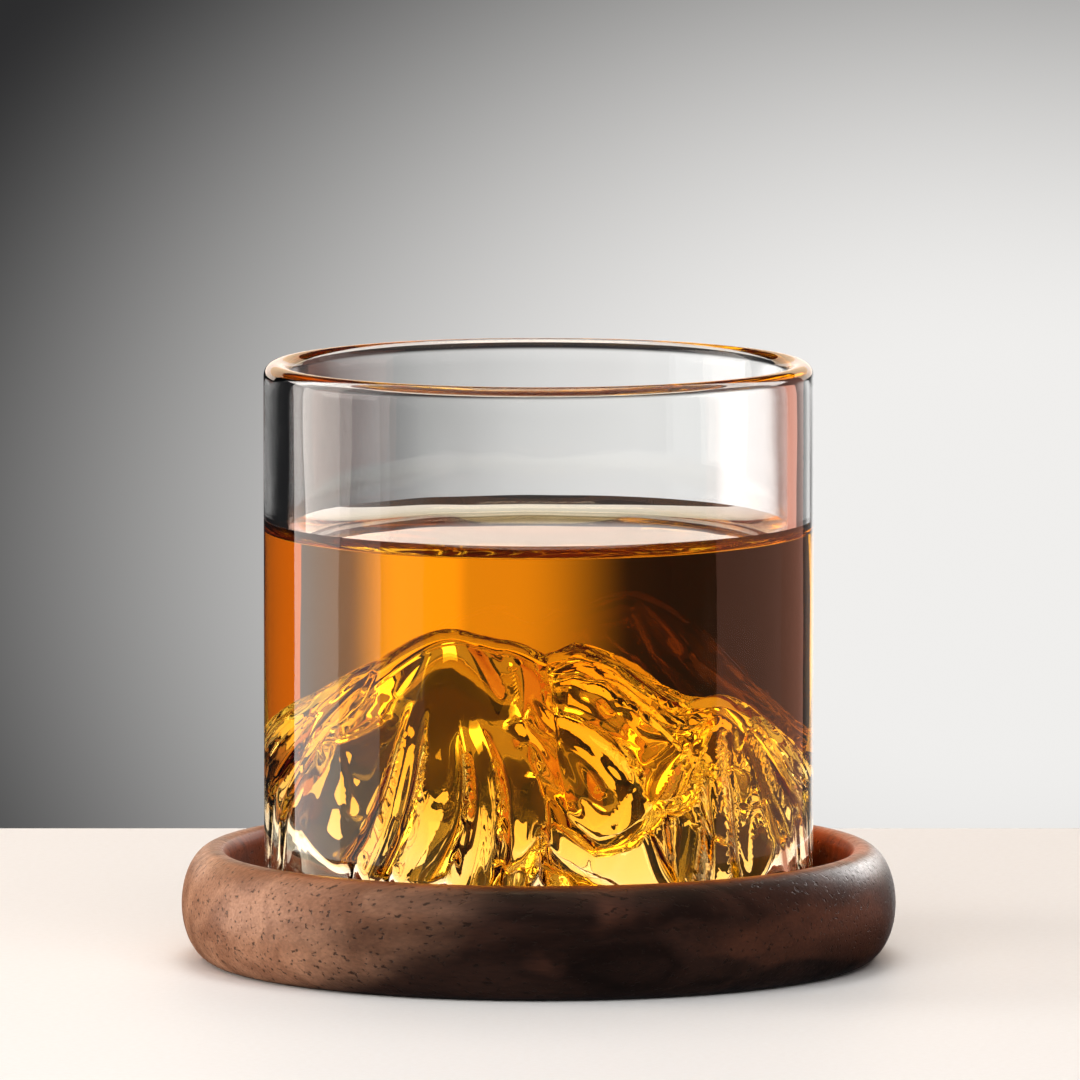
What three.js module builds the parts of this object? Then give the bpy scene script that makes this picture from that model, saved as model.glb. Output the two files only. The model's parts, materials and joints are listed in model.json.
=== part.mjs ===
// Whiskey tumbler: a straight-walled glass whose floor is moulded into a mountain,
// standing in the recess of a turned walnut coaster.
// Millimetres, +Z up, front of the mountain towards -Y.
// The origin is the centre of the coaster's underside.

import * as THREE from 'three';

// ---------- Tumbler ----------
const tumblerRadius = 42.5;      // outside of the straight wall
const tumblerHeight = 86.4;      // foot to top of rim
const wallThickness = 4.0;       // the rim is a full round of this width
const footBevel = 1.1;           // rounding of the foot's outer edge
const footInnerBevel = 0.8;      // rounding of the foot's inner edge
const floorThickness = 2.0;      // glass of the mountain, square to its surface

// ---------- Mountain moulded in the floor ----------
const peakHeight = 46.0;         // summit above the foot
const plainHeight = 7.5;         // lowest ground, where the slopes meet the wall
const skirtWidth = 2.3;          // the slopes drop to the plain over this much beside the wall
const steepestThickening = 2.0;  // limit on the vertical thickness of steep glass
const blendWidth = 1.0;          // how softly neighbouring slopes run together

// ---------- Coaster ----------
const recessGap = 5.5;           // between the tumbler and the recess wall, all round
const recessDepth = 11.5;        // crest of the rim to the recess floor
const rimWidth = 7.3;            // recess wall to the outermost edge
const lipRadius = 2.2;           // rounding over the crest into the recess
const coasterFloor = 6.0;        // wood beneath the recess
const bullnoseInset = 5.3;       // the underside is this much inside the outermost edge
const recessFillet = 2.0;        // recess wall to recess floor
const restClearance = 0.3;       // between the foot and the recess floor

// ---------- Fineness of the turned surfaces ----------
const segments = 64;
const floorRings = 16;

// ---------- Sizes that follow ----------
const innerRadius = tumblerRadius - wallThickness;
const recessRadius = tumblerRadius + recessGap;
const coasterRadius = recessRadius + rimWidth;
const coasterHeight = coasterFloor + recessDepth;
const footLevel = coasterFloor + restClearance;
const rimLevel = footLevel + tumblerHeight;

// Crest lines of the mountain. Each point is [x, y, height]: x and y are shares of the
// glass's inner radius, and height is a share of the peak height. The slope falls away
// on both sides of a crest, and `round` is how blunt the crest is, in millimetres.
const crests = [
  // left ridge, summit and second peak
  {
    points: [
      [-0.96, 0.04, 0.17], [-0.78, 0.10, 0.51], [-0.58, 0.10, 0.775], [-0.41, 0.06, 0.90],
      [-0.26, 0.03, 1.0], [-0.11, 0.06, 0.965], [0.02, 0.08, 0.915], [0.11, 0.07, 0.94],
    ],
    slope: 1.25, round: 6.0,
  },
  // nose that runs forward from the second peak
  {
    points: [[0.11, 0.06, 0.94], [0.19, 0.00, 0.86], [0.25, -0.11, 0.76], [0.28, -0.23, 0.66]],
    slope: 1.9, round: 1.6,
  },
  // saddle and right-hand hill
  {
    points: [
      [0.11, 0.10, 0.88], [0.29, 0.10, 0.725], [0.45, 0.06, 0.765], [0.55, 0.02, 0.77],
      [0.66, -0.03, 0.70], [0.79, -0.06, 0.51], [0.95, -0.10, 0.17],
    ],
    slope: 1.35, round: 3.0,
  },
  // spur of the right-hand hill
  {
    points: [[0.53, 0.0, 0.76], [0.59, -0.21, 0.62], [0.52, -0.40, 0.51], [0.38, -0.60, 0.42]],
    slope: 1.6, round: 1.8,
  },
  // left shoulder
  {
    points: [
      [-0.33, -0.02, 0.90], [-0.49, -0.21, 0.745], [-0.66, -0.23, 0.69], [-0.80, -0.26, 0.47],
      [-0.93, -0.30, 0.16],
    ],
    slope: 1.5, round: 2.0,
  },
  // face of the dome
  {
    points: [[-0.24, -0.02, 0.97], [-0.20, -0.30, 0.72], [-0.16, -0.50, 0.46]],
    slope: 1.3, round: 9.0,
  },
  // curved spur down the front of the dome, round the lip of the valley
  {
    points: [
      [-0.06, -0.05, 0.88], [-0.05, -0.28, 0.76], [-0.01, -0.50, 0.56], [0.07, -0.64, 0.42],
      [0.20, -0.70, 0.375], [0.35, -0.63, 0.40],
    ],
    slope: 1.7, round: 1.4,
  },
  // foothill against the front wall
  {
    points: [
      [-0.28, -0.86, 0.22], [-0.12, -0.85, 0.31], [-0.01, -0.85, 0.35], [0.10, -0.86, 0.32],
      [0.24, -0.86, 0.25],
    ],
    slope: 1.2, round: 1.5,
  },
  // bench along the front left of the wall
  {
    points: [[-0.87, -0.02, 0.36], [-0.81, -0.30, 0.32], [-0.67, -0.52, 0.29], [-0.47, -0.69, 0.26]],
    slope: 1.2, round: 2.0,
  },
  // spurs down the back
  {
    points: [[-0.31, 0.31, 0.78], [-0.42, 0.62, 0.48], [-0.47, 0.86, 0.27]],
    slope: 1.3, round: 2.5,
  },
  {
    points: [[0.06, 0.16, 0.86], [0.12, 0.42, 0.65], [0.18, 0.73, 0.36]],
    slope: 1.3, round: 2.5,
  },
  {
    points: [[0.54, 0.10, 0.74], [0.62, 0.34, 0.57], [0.70, 0.62, 0.34]],
    slope: 1.3, round: 2.5,
  },
];

// Height that one stretch of a crest gives the ground at (x, y), in millimetres.
function slopeFrom(start, end, crest, x, y) {
  const [ax, ay, ah] = start;
  const [bx, by, bh] = end;
  const dx = (bx - ax) * innerRadius;
  const dy = (by - ay) * innerRadius;
  const px = x - ax * innerRadius;
  const py = y - ay * innerRadius;
  const along = THREE.MathUtils.clamp((px * dx + py * dy) / (dx * dx + dy * dy), 0, 1);
  const away = Math.hypot(px - along * dx, py - along * dy);
  const crestHeight = THREE.MathUtils.lerp(ah, bh, along) * peakHeight;
  return crestHeight - crest.slope * (Math.hypot(away, crest.round) - crest.round);
}

// Height of the mountain above the foot at (x, y): the highest slope there, blended, and brought
// down to the plain beside the wall.
function reliefHeight(x, y) {
  let sum = Math.exp(plainHeight / blendWidth);
  for (const crest of crests) {
    let highest = -Infinity;
    for (let i = 1; i < crest.points.length; i++) {
      highest = Math.max(highest, slopeFrom(crest.points[i - 1], crest.points[i], crest, x, y));
    }
    sum += Math.exp(highest / blendWidth);
  }
  const fall = THREE.MathUtils.smoothstep(Math.hypot(x, y), innerRadius - skirtWidth, innerRadius);
  return THREE.MathUtils.lerp(blendWidth * Math.log(sum), plainHeight, fall);
}

// Underside of the same glass: lower by the floor thickness, measured square to the slope.
function hollowHeight(x, y) {
  const step = 0.5;
  const slopeX = (reliefHeight(x + step, y) - reliefHeight(x - step, y)) / (2 * step);
  const slopeY = (reliefHeight(x, y + step) - reliefHeight(x, y - step)) / (2 * step);
  const thickening = Math.min(Math.hypot(1, slopeX, slopeY), steepestThickening);
  return reliefHeight(x, y) - floorThickness * thickening;
}

// Points of an elliptical arc from angle a0 to a1, in degrees, both ends included.
function arc(centreR, centreZ, radiusR, radiusZ, a0, a1, steps) {
  const points = [];
  for (let i = 0; i <= steps; i++) {
    const a = THREE.MathUtils.degToRad(THREE.MathUtils.lerp(a0, a1, i / steps));
    points.push(new THREE.Vector2(centreR + radiusR * Math.cos(a), centreZ + radiusZ * Math.sin(a)));
  }
  return points;
}

// Turns a profile of (radius, height) points round the Z axis.
function turn(profile) {
  const geometry = new THREE.LatheGeometry(profile, segments);
  geometry.rotateX(Math.PI / 2);
  return geometry;
}

function makeTumbler() {
  // Flat discs stand in for the mountain at first: the floor and, under it, the hollow.
  const rings = [];
  for (let i = 0; i <= floorRings; i++) {
    rings.push(innerRadius * i / floorRings);
  }
  const hollow = rings.map((r) => new THREE.Vector2(r, 0));
  const floor = rings.toReversed().map((r) => new THREE.Vector2(r, 0));
  const rimRadius = wallThickness / 2;
  const body = [
    ...arc(innerRadius + footInnerBevel, footLevel + footInnerBevel,
      footInnerBevel, footInnerBevel, 180, 270, 2),
    ...arc(tumblerRadius - footBevel, footLevel + footBevel, footBevel, footBevel, 270, 360, 3),
    ...arc(tumblerRadius - rimRadius, rimLevel - rimRadius, rimRadius, rimRadius, 0, 180, 8),
  ];
  const profile = [...hollow, ...body, ...floor];
  const geometry = turn(profile);

  // Raise the discs to the mountain's surface and to its underside.
  const position = geometry.attributes.position;
  const floorStart = profile.length - floor.length;
  for (let i = 0; i < position.count; i++) {
    const row = i % profile.length;
    const x = position.getX(i);
    const y = position.getY(i);
    if (row < hollow.length) {
      position.setZ(i, footLevel + hollowHeight(x, y));
    } else if (row >= floorStart) {
      position.setZ(i, footLevel + reliefHeight(x, y));
    }
  }
  geometry.computeVertexNormals();

  const glass = new THREE.MeshStandardMaterial({
    color: 0xf2f5f4, roughness: 0.03, metalness: 0, transparent: true, opacity: 0.35,
  });
  const tumbler = new THREE.Mesh(geometry, glass);
  tumbler.name = 'tumbler';
  return tumbler;
}

function makeCoaster() {
  const half = coasterHeight / 2;
  const crestRadius = recessRadius + lipRadius;
  const profile = [
    new THREE.Vector2(0, 0),
    ...arc(coasterRadius - bullnoseInset, half, bullnoseInset, half, 270, 360, 6),
    ...arc(crestRadius, half, coasterRadius - crestRadius, half, 0, 90, 7).slice(1),
    ...arc(crestRadius, coasterHeight - lipRadius, lipRadius, lipRadius, 90, 180, 4).slice(1),
    ...arc(recessRadius - recessFillet, coasterFloor + recessFillet,
      recessFillet, recessFillet, 0, -90, 3),
    new THREE.Vector2(0, coasterFloor),
  ];
  const walnut = new THREE.MeshStandardMaterial({ color: 0x3a2218, roughness: 0.5, metalness: 0 });
  const coaster = new THREE.Mesh(turn(profile), walnut);
  coaster.name = 'coaster';
  return coaster;
}

const whiskeyTumbler = new THREE.Group();
whiskeyTumbler.add(makeCoaster(), makeTumbler());

export default whiskeyTumbler;
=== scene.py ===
# Whiskey tumbler with a mountain floor, filled with whiskey, on a turned walnut coaster.
# Metres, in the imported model's frame: +Z up, mountain's front towards -Y.
import json
import math

import bpy
import numpy as np
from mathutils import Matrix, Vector


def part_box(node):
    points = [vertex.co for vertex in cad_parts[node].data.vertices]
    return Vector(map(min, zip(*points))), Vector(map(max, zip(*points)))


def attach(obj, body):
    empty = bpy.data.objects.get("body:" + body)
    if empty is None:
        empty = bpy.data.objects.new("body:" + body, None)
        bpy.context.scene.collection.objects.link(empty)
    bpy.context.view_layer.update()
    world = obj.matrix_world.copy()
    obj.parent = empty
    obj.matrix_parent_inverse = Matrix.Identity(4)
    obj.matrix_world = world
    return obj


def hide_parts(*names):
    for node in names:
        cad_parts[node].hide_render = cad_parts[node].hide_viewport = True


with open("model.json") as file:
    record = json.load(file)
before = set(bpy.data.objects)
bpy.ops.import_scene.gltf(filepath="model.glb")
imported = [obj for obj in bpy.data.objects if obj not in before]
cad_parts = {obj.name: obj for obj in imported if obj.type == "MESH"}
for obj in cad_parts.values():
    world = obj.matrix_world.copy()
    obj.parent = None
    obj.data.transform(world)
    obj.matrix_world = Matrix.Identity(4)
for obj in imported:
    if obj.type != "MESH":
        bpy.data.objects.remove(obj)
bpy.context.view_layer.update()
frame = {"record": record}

MM = 0.001

# ---------- Sizes, from the frame ----------
glass_lo, glass_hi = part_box("tumbler")
coaster_lo, coaster_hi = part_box("coaster")
GLASS_RADIUS = (glass_hi.x - glass_lo.x) / 2
FOOT = glass_lo.z
RIM = glass_hi.z
COASTER_RADIUS = (coaster_hi.x - coaster_lo.x) / 2
COASTER_TOP = coaster_hi.z

# ---------- Sizes of what the frame doesn't show from outside ----------
WALL = 4.0 * MM
FOOT_BEVEL = 1.1 * MM
FOOT_INNER_BEVEL = 0.8 * MM
FLOOR_THICKNESS = 2.0 * MM
PEAK = 46.0 * MM
PLAIN = 7.5 * MM
FILL_BELOW_RIM = 26.8 * MM       # flat surface of the whiskey
MENISCUS = 2.4 * MM              # climb of the whiskey up the glass
INNER_RADIUS = GLASS_RADIUS - WALL
CONTACT_LINE = RIM - FILL_BELOW_RIM + MENISCUS
RECESS_RADIUS = 48.0 * MM
RECESS_FLOOR = 6.0 * MM
LIP = 2.2 * MM
BULLNOSE_INSET = 5.3 * MM
RECESS_FILLET = 2.0 * MM
CORNER = 1.6 * MM                # fillet between the floor and the wall, inside and under
MENISCUS_REACH = 5.5 * MM        # from the wall to where the whiskey's surface is flat
CONTACT_OVERLAP = 0.03 * MM      # the whiskey goes this far into the glass, so that no air shows
STEEPEST_THICKENING = 2.0        # limit on the vertical thickness of steep glass

AROUND = 384                     # facets round the glass and the coaster


# ---------- Camera ----------
CAMERA_DISTANCE = 2.6
CAMERA_ELEVATION = math.radians(6.0)
CAMERA_AIM = Vector((0.0002, 0.0, 0.0651))
FOCAL_LENGTH = 560.7             # millimetres, on a 36 mm sensor


def make_camera():
    data = bpy.data.cameras.new("camera")
    data.sensor_width = 36.0
    data.lens = FOCAL_LENGTH
    camera = bpy.data.objects.new("camera", data)
    back = Vector((0, -math.cos(CAMERA_ELEVATION), math.sin(CAMERA_ELEVATION)))
    camera.location = CAMERA_AIM + back * CAMERA_DISTANCE
    camera.rotation_mode = "QUATERNION"
    camera.rotation_quaternion = (-back).to_track_quat("-Z", "Y")
    data.clip_start = 0.1
    data.clip_end = 20.0
    bpy.context.scene.collection.objects.link(camera)
    bpy.context.scene.camera = camera


make_camera()

# ---------- The mountain ----------
# Crest lines: x and y are shares of the inner radius, height is a share of the peak.
CRESTS = [
    # left ridge, summit and second peak
    dict(points=[(-0.96, 0.04, 0.17), (-0.78, 0.10, 0.51), (-0.58, 0.10, 0.775), (-0.41, 0.06, 0.90),
                 (-0.26, 0.03, 1.0), (-0.11, 0.06, 0.965), (0.02, 0.08, 0.915), (0.11, 0.07, 0.94)],
         slope=1.25, blunt=6.0),
    # nose that runs forward from the second peak
    dict(points=[(0.11, 0.06, 0.94), (0.19, 0.00, 0.86), (0.25, -0.11, 0.76), (0.28, -0.23, 0.66)],
         slope=1.9, blunt=1.6),
    # saddle and right-hand hill
    dict(points=[(0.11, 0.10, 0.88), (0.29, 0.10, 0.725), (0.45, 0.06, 0.765), (0.55, 0.02, 0.77),
                 (0.66, -0.03, 0.70), (0.79, -0.06, 0.51), (0.95, -0.10, 0.17)], slope=1.35, blunt=3.0),
    # spur of the right-hand hill
    dict(points=[(0.53, 0.0, 0.76), (0.59, -0.21, 0.62), (0.52, -0.40, 0.51), (0.38, -0.60, 0.42)],
         slope=1.6, blunt=1.8),
    # left shoulder
    dict(points=[(-0.33, -0.02, 0.90), (-0.49, -0.21, 0.745), (-0.66, -0.23, 0.69),
                 (-0.80, -0.26, 0.47), (-0.93, -0.30, 0.16)], slope=1.5, blunt=2.0),
    # face of the dome
    dict(points=[(-0.24, -0.02, 0.97), (-0.20, -0.30, 0.72), (-0.16, -0.50, 0.46)],
         slope=1.3, blunt=9.0),
    # curved spur down the front of the dome, round the lip of the valley
    dict(points=[(-0.06, -0.05, 0.88), (-0.05, -0.28, 0.76), (-0.01, -0.50, 0.56), (0.07, -0.64, 0.42),
                 (0.20, -0.70, 0.375), (0.35, -0.63, 0.40)], slope=1.7, blunt=1.4),
    # foothill against the front wall
    dict(points=[(-0.28, -0.86, 0.22), (-0.12, -0.85, 0.31), (-0.01, -0.85, 0.35), (0.10, -0.86, 0.32),
                 (0.24, -0.86, 0.25)], slope=1.2, blunt=1.5),
    # bench along the front left of the wall
    dict(points=[(-0.87, -0.02, 0.36), (-0.81, -0.30, 0.32), (-0.67, -0.52, 0.29), (-0.47, -0.69, 0.26)],
         slope=1.2, blunt=2.0),
    # spurs down the back
    dict(points=[(-0.31, 0.31, 0.78), (-0.42, 0.62, 0.48), (-0.47, 0.86, 0.27)], slope=1.3, blunt=2.5),
    dict(points=[(0.06, 0.16, 0.86), (0.12, 0.42, 0.65), (0.18, 0.73, 0.36)], slope=1.3, blunt=2.5),
    dict(points=[(0.54, 0.10, 0.74), (0.62, 0.34, 0.57), (0.70, 0.62, 0.34)], slope=1.3, blunt=2.5),
]
BLEND = 1.0 * MM
SKIRT = 2.3 * MM                 # the hills drop to the plain over this much beside the wall


def crest_height(crest, x, y):
    """Height that a crest gives the ground, which falls away on both sides of its line."""
    highest = np.full(x.shape, -1.0)
    blunt = crest["blunt"] * MM
    for (ax, ay, ah), (bx, by, bh) in zip(crest["points"], crest["points"][1:]):
        dx, dy = (bx - ax) * INNER_RADIUS, (by - ay) * INNER_RADIUS
        px, py = x - ax * INNER_RADIUS, y - ay * INNER_RADIUS
        along = np.clip((px * dx + py * dy) / (dx * dx + dy * dy), 0, 1)
        away = np.hypot(px - along * dx, py - along * dy)
        top = (ah + (bh - ah) * along) * PEAK
        highest = np.maximum(highest, top - crest["slope"] * (np.hypot(away, blunt) - blunt))
    return highest


def broad_relief(x, y):
    """The hills: the highest crest's slope, blended, and brought down to the plain beside the wall."""
    total = np.exp(np.full(x.shape, PLAIN) / BLEND)
    for crest in CRESTS:
        total += np.exp(crest_height(crest, x, y) / BLEND)
    drop = np.clip((np.hypot(x, y) - (INNER_RADIUS - SKIRT)) / SKIRT, 0, 1)
    return PLAIN + (BLEND * np.log(total) - PLAIN) * (1 - drop ** 2 * (3 - 2 * drop))


def flute(t):
    """Sharp crests and round troughs, one per unit of t, from -1 to 1."""
    return 1 - 2 * np.abs(np.sin(math.pi * t))


def fan(x, y, centre_x, centre_y, count, twist, phase):
    """Flutes fanning out from a centre, unevenly wide, and the distance from that centre."""
    dx, dy = x / INNER_RADIUS - centre_x, y / INNER_RADIUS - centre_y
    angle, away = np.arctan2(dy, dx), np.hypot(dx, dy)
    wander = 0.22 * np.sin(7 * away + phase) + 0.45 * np.sin(4 * angle + phase) + 0.2 * np.sin(9 * angle)
    return flute(angle * count / (2 * math.pi) + twist * away + wander), away


def fine_relief(x, y):
    """Flutes that run down the slopes of the two hills, and knobs on the second peak."""
    left, left_away = fan(x, y, -0.24, 0.02, 20, 0.5, 0.3)
    right, right_away = fan(x, y, 0.56, 0.02, 15, -0.4, 0.8)
    u, v = x / INNER_RADIUS, y / INNER_RADIUS
    share = 1 / (1 + np.exp(-(u - 0.40) * 14))
    smooth_face = np.exp(-((u + 0.12) / 0.26) ** 2 - ((v + 0.30) / 0.38) ** 2)
    yellow_face = np.exp(-((u - 0.40) / 0.14) ** 2 - ((v + 0.22) / 0.26) ** 2)
    left_size = 1.4 * MM * np.clip((left_away - 0.28) / 0.35, 0, 1) * (1 - 0.9 * smooth_face)
    right_size = 1.1 * MM * np.clip((right_away - 0.08) / 0.25, 0, 1) * (1 - 0.8 * yellow_face)
    knobs = np.exp(-((u - 0.20) / 0.10) ** 2 - ((v + 0.04) / 0.16) ** 2)
    lumps = np.sin(38 * u + 9 * v) * np.sin(33 * v - 12 * u)
    return (1 - share) * left_size * left + share * right_size * right + 0.45 * MM * knobs * lumps


def relief(x, y):
    return broad_relief(x, y) + fine_relief(x, y)


def hollow(x, y):
    """The underside of the same glass, lower by its thickness measured square to the slope."""
    step = 0.25 * MM
    slope_x = (relief(x + step, y) - relief(x - step, y)) / (2 * step)
    slope_y = (relief(x, y + step) - relief(x, y - step)) / (2 * step)
    thickening = np.minimum(np.sqrt(1 + slope_x ** 2 + slope_y ** 2), STEEPEST_THICKENING)
    return relief(x, y) - FLOOR_THICKNESS * thickening


# ---------- Meshes ----------
def arc(centre_r, centre_z, radius_r, radius_z, a0, a1, steps):
    """Rows of an elliptical arc as (radius, height), angles in degrees."""
    angles = np.radians(np.linspace(a0, a1, steps + 1))
    return [(centre_r + radius_r * math.cos(a), centre_z + radius_z * math.sin(a)) for a in angles]


ANGLES = np.linspace(0, 2 * math.pi, AROUND, endpoint=False)
COS, SIN = np.cos(ANGLES), np.sin(ANGLES)


def ring(radius, height):
    """One row of points round the axis; height may differ from point to point."""
    return np.stack([radius * COS, radius * SIN, np.broadcast_to(height, ANGLES.shape)], axis=1)


def turned(name, rows, bottom, top, contact=()):
    """A closed solid from rings of points, listed from the axis under the piece, round its outside
    and back to the axis. bottom and top are the heights where it crosses the axis. contact lists the
    bands between rings, counted from 0, with the cap underneath as -1, where glass and drink touch."""
    vertices = np.concatenate([*rows, [[0, 0, bottom], [0, 0, top]]])
    first, last, count = 0, (len(rows) - 1) * AROUND, len(rows) * AROUND
    faces = []
    for j in range(AROUND):
        k = (j + 1) % AROUND
        faces.append((count, first + k, first + j))
        faces.append((count + 1, last + j, last + k))
        for i in range(0, last, AROUND):
            faces.append((i + j, i + k, i + AROUND + k, i + AROUND + j))
    mesh = bpy.data.meshes.new(name)
    mesh.from_pydata(vertices.tolist(), [], faces)
    bands = [-1, len(rows) - 1, *range(len(rows) - 1)]
    touching = np.tile([float(band in contact) for band in bands], AROUND)
    mesh.attributes.new("touching", "FLOAT", "FACE").data.foreach_set("value", touching)
    mesh.shade_smooth()
    mesh.set_sharp_from_angle(angle=math.radians(40))
    piece = bpy.data.objects.new(name, mesh)
    bpy.context.scene.collection.objects.link(piece)
    return piece


def floor_radii():
    """Radii of the floor's rings, from the middle out, close together over the corner fillet."""
    flat = np.linspace(0, INNER_RADIUS - CORNER, 92)[1:]
    curve = INNER_RADIUS - CORNER + CORNER * np.sin(np.linspace(0, math.pi / 2, 9))[1:]
    return np.concatenate([flat, curve])


def corner_rise(radius):
    """How far the corner fillet has climbed at a radius: all of CORNER at the wall."""
    into = np.clip((radius - (INNER_RADIUS - CORNER)) / CORNER, 0, 1)
    return CORNER * (1 - np.sqrt(1 - into ** 2))


def floor_row(radius):
    return FOOT + relief(radius * COS, radius * SIN) + corner_rise(radius)


def hollow_row(radius):
    return FOOT + hollow(radius * COS, radius * SIN) - corner_rise(radius)


def wall_rows(radius, low, high, count):
    """Rings up a straight wall, from low to high; either may differ round the axis."""
    return [ring(radius, low + (high - low) * t) for t in np.linspace(0, 1, count + 2)[1:-1]]


def make_glass():
    radii = floor_radii()
    under = [ring(r, hollow_row(r)) for r in radii]
    floor = [ring(r, floor_row(r)) for r in radii[::-1]]
    foot_in = arc(INNER_RADIUS + FOOT_INNER_BEVEL, FOOT + FOOT_INNER_BEVEL, FOOT_INNER_BEVEL,
                  FOOT_INNER_BEVEL, 180, 270, 6)
    foot_out = arc(GLASS_RADIUS - FOOT_BEVEL, FOOT + FOOT_BEVEL, FOOT_BEVEL, FOOT_BEVEL, 270, 360, 8)
    rim = arc(GLASS_RADIUS - WALL / 2, RIM - WALL / 2, WALL / 2, WALL / 2, 0, 180, 24)
    dry = [
        *under,
        *wall_rows(INNER_RADIUS, under[-1][:, 2], foot_in[0][1], 6),
        *[ring(*p) for p in foot_in + foot_out],
        *wall_rows(GLASS_RADIUS, foot_out[-1][1], rim[0][1], 40),
        *[ring(*p) for p in rim],
        *wall_rows(INNER_RADIUS, rim[-1][1], CONTACT_LINE, 12),
    ]
    wet = [
        ring(INNER_RADIUS, CONTACT_LINE),
        *wall_rows(INNER_RADIUS, CONTACT_LINE, floor[0][:, 2], 24),
        *floor,
    ]
    rows = [*dry, *wet]
    centre = np.zeros(1)
    return turned("tumbler_glass", rows, FOOT + hollow(centre, centre)[0], FOOT + relief(centre, centre)[0],
                  contact=range(len(dry), len(rows)))


def make_whiskey():
    """Fills the glass up to the contact line, with a surface that curves down to flat."""
    radius = INNER_RADIUS + CONTACT_OVERLAP
    level = CONTACT_LINE - MENISCUS
    under = [ring(r * radius / INNER_RADIUS, floor_row(r) - CONTACT_OVERLAP) for r in floor_radii()]
    climb = [ring(radius - MENISCUS_REACH * t, level + MENISCUS * (1 - t) ** 3)
             for t in np.linspace(0, 1, 24)]
    flat = [ring(r, level) for r in np.linspace(radius - MENISCUS_REACH, 0, 14)[1:-1]]
    against_glass = [*under, *wall_rows(radius, under[-1][:, 2], climb[0][:, 2], 30)]
    rows = [*against_glass, *climb, *flat]
    centre = np.zeros(1)
    return turned("whiskey", rows, FOOT + relief(centre, centre)[0] - CONTACT_OVERLAP, level,
                  contact=range(-1, len(against_glass)))


def make_coaster():
    half = COASTER_TOP / 2
    crest = RECESS_RADIUS + LIP
    profile = [
        *[(r, 0) for r in np.linspace(0, COASTER_RADIUS - BULLNOSE_INSET, 12)[1:-1]],
        *arc(COASTER_RADIUS - BULLNOSE_INSET, half, BULLNOSE_INSET, half, 270, 360, 20),
        *arc(crest, half, COASTER_RADIUS - crest, half, 0, 90, 20)[1:],
        *arc(crest, COASTER_TOP - LIP, LIP, LIP, 90, 180, 12)[1:],
        *[(RECESS_RADIUS, z)
          for z in np.linspace(COASTER_TOP - LIP, RECESS_FLOOR + RECESS_FILLET, 5)[1:-1]],
        *arc(RECESS_RADIUS - RECESS_FILLET, RECESS_FLOOR + RECESS_FILLET, RECESS_FILLET,
             RECESS_FILLET, 0, -90, 8),
        *[(r, RECESS_FLOOR) for r in np.linspace(RECESS_RADIUS - RECESS_FILLET, 0, 12)[1:-1]],
    ]
    return turned("walnut_coaster", [ring(*p) for p in profile], 0.0, RECESS_FLOOR)


# ---------- Materials ----------
GLASS_IOR = 1.5
WHISKEY_IOR = 1.36


class Shading:
    """A material's nodes, with short calls to add one and link it."""

    def __init__(self, name):
        self.material = bpy.data.materials.new(name)
        self.material.use_nodes = True
        self.nodes = self.material.node_tree.nodes
        self.links = self.material.node_tree.links
        self.surface = self.nodes.get("Principled BSDF")
        self.output = self.nodes["Material Output"]

    def add(self, kind, **inputs):
        """A node. Each input is a number or colour, or another node's output; _ stands for a space."""
        node = self.nodes.new("ShaderNode" + kind)
        for name, value in inputs.items():
            self.set(node, name.replace("_", " "), value)
        return node

    def set(self, node, name, value):
        socket = next(s for s in node.inputs if s.name == name and s.enabled)
        if isinstance(value, bpy.types.NodeSocket):
            self.links.new(value, socket)
        else:
            socket.default_value = value

    def finish_with(self, **inputs):
        for name, value in inputs.items():
            self.set(self.surface, name.replace("_", " "), value)
        return self.material

    def object_space(self, scale):
        """Places on the piece, in its own frame, multiplied by a scale for each axis."""
        node = self.add("Mapping", Scale=scale, Vector=self.add("TexCoord").outputs["Object"])
        return node.outputs["Vector"]

    def noise(self, scale, detail=4.0, distortion=0.0):
        """Noise from 0 to 1 with so many features to a metre along each axis."""
        node = self.add("TexNoise", Vector=self.object_space(scale), Scale=1.0, Detail=detail,
                        Distortion=distortion)
        return node.outputs["Fac"]

    def spread(self, value, low, high, new_low=0.0, new_high=1.0):
        """Takes low to high onto new_low to new_high, smoothly, and holds both ends."""
        node = self.nodes.new("ShaderNodeMapRange")
        node.interpolation_type = "SMOOTHSTEP"
        limits = {"Value": value, "From Min": low, "From Max": high, "To Min": new_low, "To Max": new_high}
        for name, limit in limits.items():
            self.set(node, name, limit)
        return node.outputs["Result"]

    def math(self, operation, *values):
        node = self.nodes.new("ShaderNodeMath")
        node.operation = operation
        for socket, value in zip(node.inputs, values):
            if isinstance(value, bpy.types.NodeSocket):
                self.links.new(value, socket)
            else:
                socket.default_value = value
        return node.outputs["Value"]

    def mix(self, factor, first, second, blend="MIX"):
        node = self.nodes.new("ShaderNodeMix")
        node.data_type = "RGBA"
        node.blend_type = blend
        for name, value in {"Factor": factor, "A": first, "B": second}.items():
            self.set(node, name, value)
        return next(s for s in node.outputs if s.name == "Result" and s.enabled)

    def axes(self):
        node = self.add("SeparateXYZ", Vector=self.add("TexCoord").outputs["Object"])
        return node.outputs["X"], node.outputs["Y"], node.outputs["Z"]

    def bump(self, height, distance, strength=1.0):
        return self.add("Bump", Height=height, Distance=distance, Strength=strength).outputs["Normal"]


def glass_material():
    """Clear pressed glass: faintly uneven, with a little haze of handling on its outside."""
    paint = Shading("clear_glass")
    ripple = paint.noise((60, 60, 35), detail=1.0)
    haze = paint.spread(paint.noise((90, 90, 140), detail=5.0), 0.52, 0.78, 0.0, 0.012)
    return paint.finish_with(
        Base_Color=(0.99, 0.995, 0.992, 1), Transmission_Weight=1.0, IOR=GLASS_IOR, Roughness=haze,
        Normal=paint.bump(ripple, 0.12 * MM))


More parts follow.
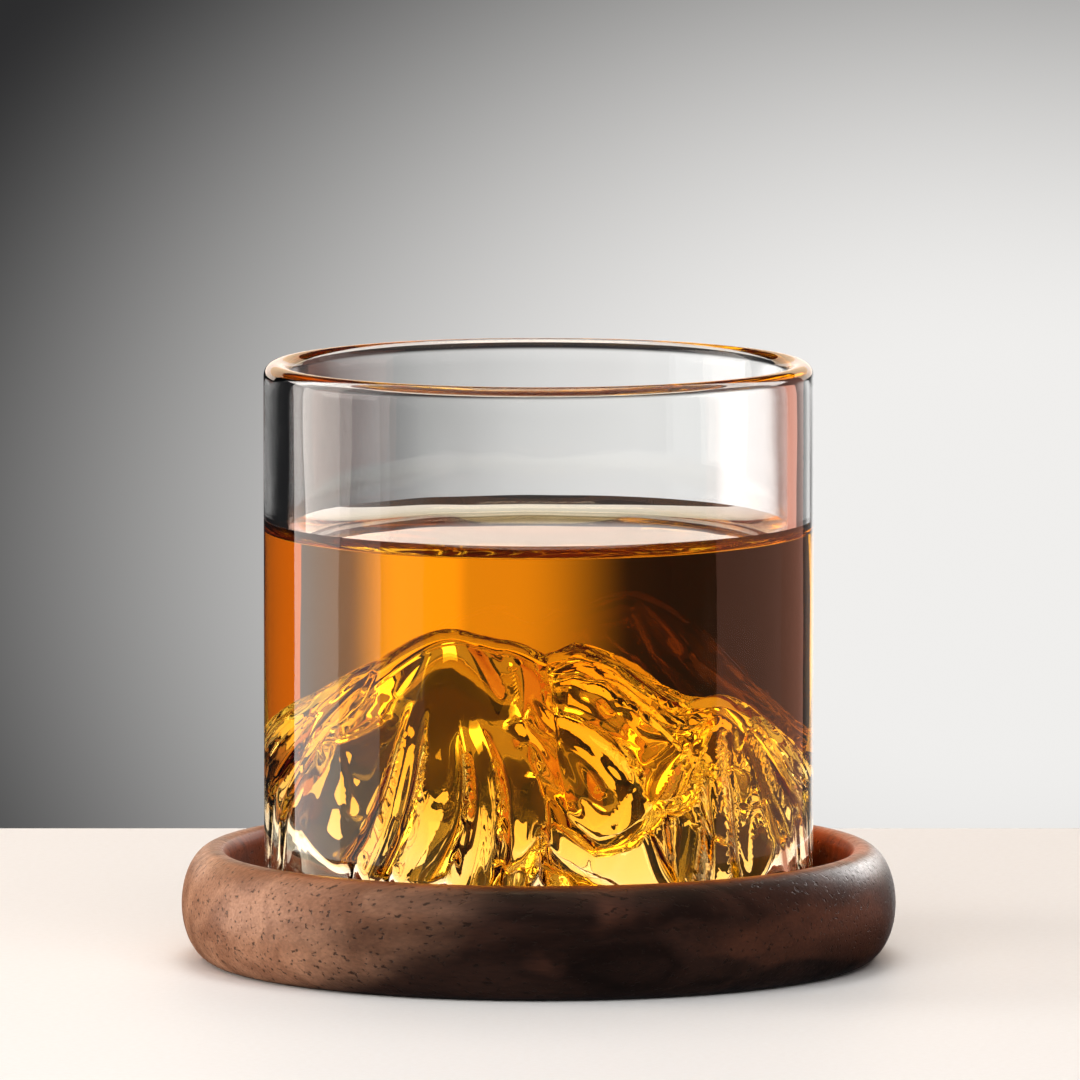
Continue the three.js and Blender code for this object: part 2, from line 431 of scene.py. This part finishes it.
def whiskey_material():
    """Amber spirit: red passes, green is held back and blue is all but stopped. Where it touches the
    glass, its surface bends light from glass to drink; the glass adds no surface of its own there."""
    paint = Shading("whiskey")
    touching = paint.add("Attribute")
    touching.attribute_name = "touching"
    ior = paint.spread(touching.outputs["Fac"], 0.0, 1.0, WHISKEY_IOR, WHISKEY_IOR / GLASS_IOR)
    ripple = paint.noise((45, 45, 45), detail=1.0)
    absorb = paint.add("VolumeAbsorption", Color=(0.997, 0.812, 0.03, 1), Density=90.0)
    paint.set(paint.output, "Volume", absorb.outputs["Volume"])
    return paint.finish_with(
        Base_Color=(1, 1, 1, 1), Transmission_Weight=1.0, IOR=ior, Roughness=0.0,
        Normal=paint.bump(ripple, 0.08 * MM))


def walnut_material():
    """Oiled black walnut: fibres, open pores, a paler top edge, paler wood on the left that paints in the
    key light falling there, and a recess painted a deeper, redder brown as shade and as the drink's amber
    glow."""
    paint = Shading("walnut")
    across, deep, height = paint.axes()
    squares = paint.math("ADD", paint.math("MULTIPLY", across, across), paint.math("MULTIPLY", deep, deep))
    radius = paint.math("SQRT", squares)
    figure = paint.noise((22, 130, 130), detail=5.0, distortion=0.8)
    fibre = paint.noise((300, 2200, 2200), detail=4.0)
    fleck = paint.noise((700, 1500, 1500), detail=3.0)
    patches = paint.noise((30, 30, 60), detail=3.0, distortion=0.4)

    # dark heartwood with redder patches, and paler wood past an edge that leans and wanders: painted light
    # where the key light falls on the left side
    dark_heart, light_heart = (0.011, 0.0044, 0.003, 1), (0.034, 0.0135, 0.0085, 1)
    dark_lit_left, light_lit_left = (0.25, 0.108, 0.057, 1), (0.45, 0.225, 0.13, 1)
    heartwood = paint.mix(paint.spread(figure, 0.34, 0.66), dark_heart, light_heart)
    red_wood = paint.mix(paint.spread(patches, 0.56, 0.70), heartwood, (0.085, 0.028, 0.014, 1))
    lit_left_wood = paint.mix(paint.spread(figure, 0.30, 0.70), dark_lit_left, light_lit_left)
    lean = paint.math("MULTIPLY", height, -1.2)
    wander = paint.spread(patches, 0.3, 0.7, -8 * MM, 8 * MM)
    edge = paint.math("ADD", paint.math("ADD", across, lean), wander)
    # painted light: the paler wood on the left stands in for the key light falling on that side
    wood = paint.mix(paint.spread(edge, -50 * MM, -26 * MM, 0.94, 0.0), red_wood, lit_left_wood)

    # painted amber glow of the drink's light over the recess and the lip, with painted shade near black
    # lower down in the recess
    dark_painted_glow, light_painted_glow = (0.035, 0.010, 0.003, 1), (0.110, 0.031, 0.007, 1)
    painted_glow_mask = paint.spread(radius, RECESS_RADIUS + 2.6 * MM, RECESS_RADIUS + 4.0 * MM, 0.85, 0.0)
    painted_glow_and_shade = paint.mix(paint.spread(figure, 0.36, 0.62), dark_painted_glow, light_painted_glow)
    shallow = paint.spread(height, COASTER_TOP - 4.0 * MM, COASTER_TOP - 1.0 * MM, 0.30, 1.0)
    # painted shade: the recess turns near black lower down
    painted_glow_and_shade = paint.mix(shallow, (0.004, 0.001, 0.0003, 1), painted_glow_and_shade)
    # the redder brown over the recess and lip is painted amber glow and painted shade
    wood = paint.mix(painted_glow_mask, wood, painted_glow_and_shade)

    # fibres, pores and a paler top edge lie over all of it
    wood = paint.mix(paint.spread(fibre, 0.35, 0.65, 0.0, 0.42), wood, (0.5, 0.5, 0.5, 1), "MULTIPLY")
    pores = paint.spread(fleck, 0.60, 0.68)
    wood = paint.mix(paint.math("MULTIPLY", pores, 0.75), wood, (0.012, 0.006, 0.004, 1))
    # paler wood along the top edge of the coaster
    paler_top_edge = paint.spread(height, COASTER_TOP - 1.2 * MM, COASTER_TOP, 0.0, 0.30)
    wood = paint.mix(paint.math("MULTIPLY", paler_top_edge, figure), wood, (0.30, 0.13, 0.06, 1))

    # the recess is matt, and the outside is rubbed smooth
    inside = paint.spread(radius, RECESS_RADIUS + 0.4 * MM, RECESS_RADIUS + 1.6 * MM, 0.7, 0.0)
    roughness = paint.math("MAXIMUM", paint.spread(fibre, 0.3, 0.7, 0.30, 0.46), inside)
    texture = paint.math("SUBTRACT", paint.math("MULTIPLY", fibre, 0.5), pores)
    return paint.finish_with(
        Base_Color=wood, Roughness=roughness, Coat_Weight=0.05, Coat_Roughness=0.22,
        Specular_IOR_Level=0.22, Normal=paint.bump(texture, 0.07 * MM))


def wetted_glass_material():
    """The glass's side of its contact with the drink, which leaves the light alone."""
    return Shading("wetted_glass").finish_with(Alpha=0.0, Transmission_Weight=1.0, IOR=GLASS_IOR)


def floor_material():
    """A pale tablecloth, slightly uneven."""
    paint = Shading("pale_floor")
    cloth = paint.noise((900, 900, 900), detail=3.0)
    tone = paint.mix(paint.spread(cloth, 0.3, 0.7), (0.865, 0.845, 0.825, 1), (0.885, 0.87, 0.855, 1))
    return paint.finish_with(Base_Color=tone, Roughness=0.55, Normal=paint.bump(cloth, 0.02 * MM))


def backdrop_material():
    """A soft pool of light on the right that fades to dark on the left and above, and less to the
    right. Only its front shows, so that it hides nothing from behind."""
    pool_x, pool_z = 0.10, -0.0435           # middle of the pool
    tallness, rightward_fade = 0.74, 0.3     # its height, and its fade to the right, against the left
    inner, outer = 0.0535, 0.2675            # where it starts to fade, and where it is dark
    paint = Shading("backdrop")
    paint.nodes.remove(paint.surface)
    x, _, z = paint.axes()
    right = paint.math("SUBTRACT", x, pool_x)
    across = paint.math("MAXIMUM", paint.math("MULTIPLY", right, -1.0),
                        paint.math("MULTIPLY", right, rightward_fade))
    up = paint.math("DIVIDE", paint.math("SUBTRACT", z, pool_z), tallness)
    squares = paint.math("ADD", paint.math("MULTIPLY", across, across), paint.math("MULTIPLY", up, up))
    away = paint.spread(paint.math("SQRT", squares), inner, outer)
    shade = paint.mix(away, (0.87, 0.86, 0.845, 1), (0.026, 0.026, 0.027, 1))
    bright_right = paint.spread(x, 0.115, 0.15, 1.0, 1.42)
    dark_far_right = paint.spread(x, 0.26, 0.44, 1.0, 0.20)
    dark_far_left = paint.spread(x, -0.25, -0.13, 0.55, 1.0)
    strength = paint.math("MULTIPLY", paint.math("MULTIPLY", bright_right, dark_far_right), dark_far_left)
    glow = paint.add("Emission", Color=shade, Strength=strength)
    clear = paint.add("BsdfTransparent")
    mix = paint.add("MixShader", Fac=paint.add("NewGeometry").outputs["Backfacing"])
    paint.links.new(glow.outputs["Emission"], mix.inputs[1])
    paint.links.new(clear.outputs["BSDF"], mix.inputs[2])
    paint.set(paint.output, "Surface", mix.outputs["Shader"])
    return paint.material


# ---------- Build ----------
glass = make_glass()
glass.data.materials.append(glass_material())
glass.data.materials.append(wetted_glass_material())
for face, touching in zip(glass.data.polygons, glass.data.attributes["touching"].data):
    face.material_index = round(touching.value)
whiskey = make_whiskey()
whiskey.data.materials.append(whiskey_material())
coaster = make_coaster()
coaster.data.materials.append(walnut_material())


def body_of(node):
    bodies = frame["record"]["behaviour"]["bodies"]
    return next(body for body, nodes in bodies.items() if node in nodes)


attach(glass, body_of("tumbler"))
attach(whiskey, body_of("tumbler"))
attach(coaster, body_of("coaster"))
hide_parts("tumbler")
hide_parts("coaster")


# ---------- Stage ----------
FLOOR_HALF_WIDTH, FLOOR_FRONT, FLOOR_BACK = 0.6, -0.145, 0.165
BACKDROP_Y, BACKDROP_HALF_WIDTH, BACKDROP_HALF_HEIGHT = 1.0, 1.6, 0.9
LEFT_PANELS_X, RIGHT_PANEL_X = -0.42, 0.45
SIDE_PANELS_LOW, SIDE_PANELS_HIGH = -0.07, 0.48
BACK_PANELS_Y, BACK_PANELS_WIDTH = 0.9, 1.3
GLASS_MIDDLE = (0, 0, 0.08)      # what the back panels face


def make_plane(name, corners, material):
    mesh = bpy.data.meshes.new(name)
    mesh.from_pydata(corners, [], [(0, 1, 2, 3)])
    mesh.materials.append(material)
    plane = bpy.data.objects.new(name, mesh)
    bpy.context.scene.collection.objects.link(plane)
    return plane


floor = make_plane(
    "floor",
    [(-FLOOR_HALF_WIDTH, FLOOR_FRONT, 0), (FLOOR_HALF_WIDTH, FLOOR_FRONT, 0),
     (FLOOR_HALF_WIDTH, FLOOR_BACK, 0), (-FLOOR_HALF_WIDTH, FLOOR_BACK, 0)],
    floor_material())
floor.visible_glossy = False     # the table has no reflection in glass or varnish
make_plane(
    "backdrop",
    [(-BACKDROP_HALF_WIDTH, BACKDROP_Y, -BACKDROP_HALF_HEIGHT),
     (BACKDROP_HALF_WIDTH, BACKDROP_Y, -BACKDROP_HALF_HEIGHT),
     (BACKDROP_HALF_WIDTH, BACKDROP_Y, BACKDROP_HALF_HEIGHT),
     (-BACKDROP_HALF_WIDTH, BACKDROP_Y, BACKDROP_HALF_HEIGHT)],
    backdrop_material())


def group_of(name, *members):
    """A collection that only says which pieces a light touches."""
    group = bpy.data.collections.new(name)
    for member in members:
        group.objects.link(member)
    return group


opaque_pieces = group_of("opaque_pieces", coaster, floor)
wood_pieces = group_of("wood_pieces", coaster)


def area_light(name, location, target, width, height, power, color=(1, 1, 1)):
    """A rectangular lamp that faces its target, out of the camera's sight."""
    data = bpy.data.lights.new(name, "AREA")
    data.shape = "RECTANGLE"
    data.size = width
    data.size_y = height
    data.energy = power
    data.color = color
    lamp = bpy.data.objects.new(name, data)
    lamp.location = location
    lamp.rotation_mode = "QUATERNION"
    lamp.rotation_quaternion = (Vector(target) - Vector(location)).to_track_quat("-Z", "Y")
    lamp.visible_camera = False
    bpy.context.scene.collection.objects.link(lamp)
    return lamp


def side_panel(name, x, y_low, y_high, radiance, color=(1, 1, 1)):
    """An upright softbox that faces the glass from the side, as bright all over as radiance says.
    It is there for the reflections in the glass."""
    width, height = y_high - y_low, SIDE_PANELS_HIGH - SIDE_PANELS_LOW
    middle = ((y_low + y_high) / 2, (SIDE_PANELS_LOW + SIDE_PANELS_HIGH) / 2)
    power = math.pi * width * height * radiance
    lamp = area_light(name, (x, *middle), (0, *middle), width, height, power, color)
    lamp.visible_diffuse = False


def soft_light(*settings, touches=None, shaded_by=None, **more):
    """Lights wood and floor, and has no reflection of its own."""
    lamp = area_light(*settings, **more)
    lamp.visible_glossy = False
    lamp.visible_transmission = False
    lamp.light_linking.receiver_collection = touches
    lamp.light_linking.blocker_collection = shaded_by


# Panels that show in the glass and the drink
side_panel("left_panel", LEFT_PANELS_X, -0.014, 0.245, 2.7, color=(1.0, 0.94, 0.88))
side_panel("left_panel_edge", LEFT_PANELS_X, -0.18, -0.014, 1.1)
side_panel("left_panel_tail", LEFT_PANELS_X, -0.39, -0.18, 0.2)
side_panel("right_panel", RIGHT_PANEL_X, -0.108, 0.62, 0.75, color=(1.0, 0.44, 0.32))
area_light("back_panel", (0.0, BACK_PANELS_Y, 0.155), GLASS_MIDDLE, BACK_PANELS_WIDTH, 0.15, 1.1,
           color=(1.0, 0.82, 0.69))
area_light("back_panel_high", (0.0, BACK_PANELS_Y, 0.335), GLASS_MIDDLE, BACK_PANELS_WIDTH, 0.21, 1.5,
           color=(1.0, 0.68, 0.42))
top_panel = area_light("top_panel", (0, 0.25, 0.9), (0, 0, 0), 0.4, 0.5, 3.0, color=(1.0, 0.80, 0.56))
top_panel.visible_diffuse = False
ceiling = area_light("ceiling", (0, 0.1, 1.0), (0, 0, 0), 1.6, 1.4, 3.7, color=(1.0, 0.73, 0.48))
ceiling.visible_diffuse = False

# Light on the wood and the table; amber_glow stands for what the drink throws on the wood
soft_light("key", (-0.8, 0.02, 0.14), (0, 0, 0.02), 0.4, 0.2, 6.0, color=(1.0, 0.93, 0.87))
soft_light("overhead", (0, 0.25, 0.9), (0, 0, 0), 0.4, 0.5, 3.0)
soft_light("fill", (0, -0.6, 0.7), (0, 0, 0), 1.4, 0.8, 8.6, shaded_by=opaque_pieces)
soft_light("amber_glow", (0.0, 0.0, 0.06), (0.03, 0.0, 0.0), 0.03, 0.03, 0.15, color=(1.0, 0.32, 0.03),
           touches=wood_pieces, shaded_by=wood_pieces)
edge_light = area_light("edge_light", (0.5, 0.8, 0.35), (0.04, 0, 0.018), 0.4, 0.3, 3.5)
edge_light.visible_transmission = False
edge_light.light_linking.receiver_collection = wood_pieces

world = bpy.data.worlds.new("world")
world.use_nodes = True
background = world.node_tree.nodes["Background"]
background.inputs["Color"].default_value = (0.75, 0.76, 0.78, 1)
background.inputs["Strength"].default_value = 0.08
bpy.context.scene.world = world

bpy.context.scene.view_settings.view_transform = "Standard"
# enough bounces for light to find its way through glass, drink and glass again
bpy.context.scene.cycles.max_bounces = 32
bpy.context.scene.cycles.transmission_bounces = 32
bpy.context.scene.cycles.glossy_bounces = 12
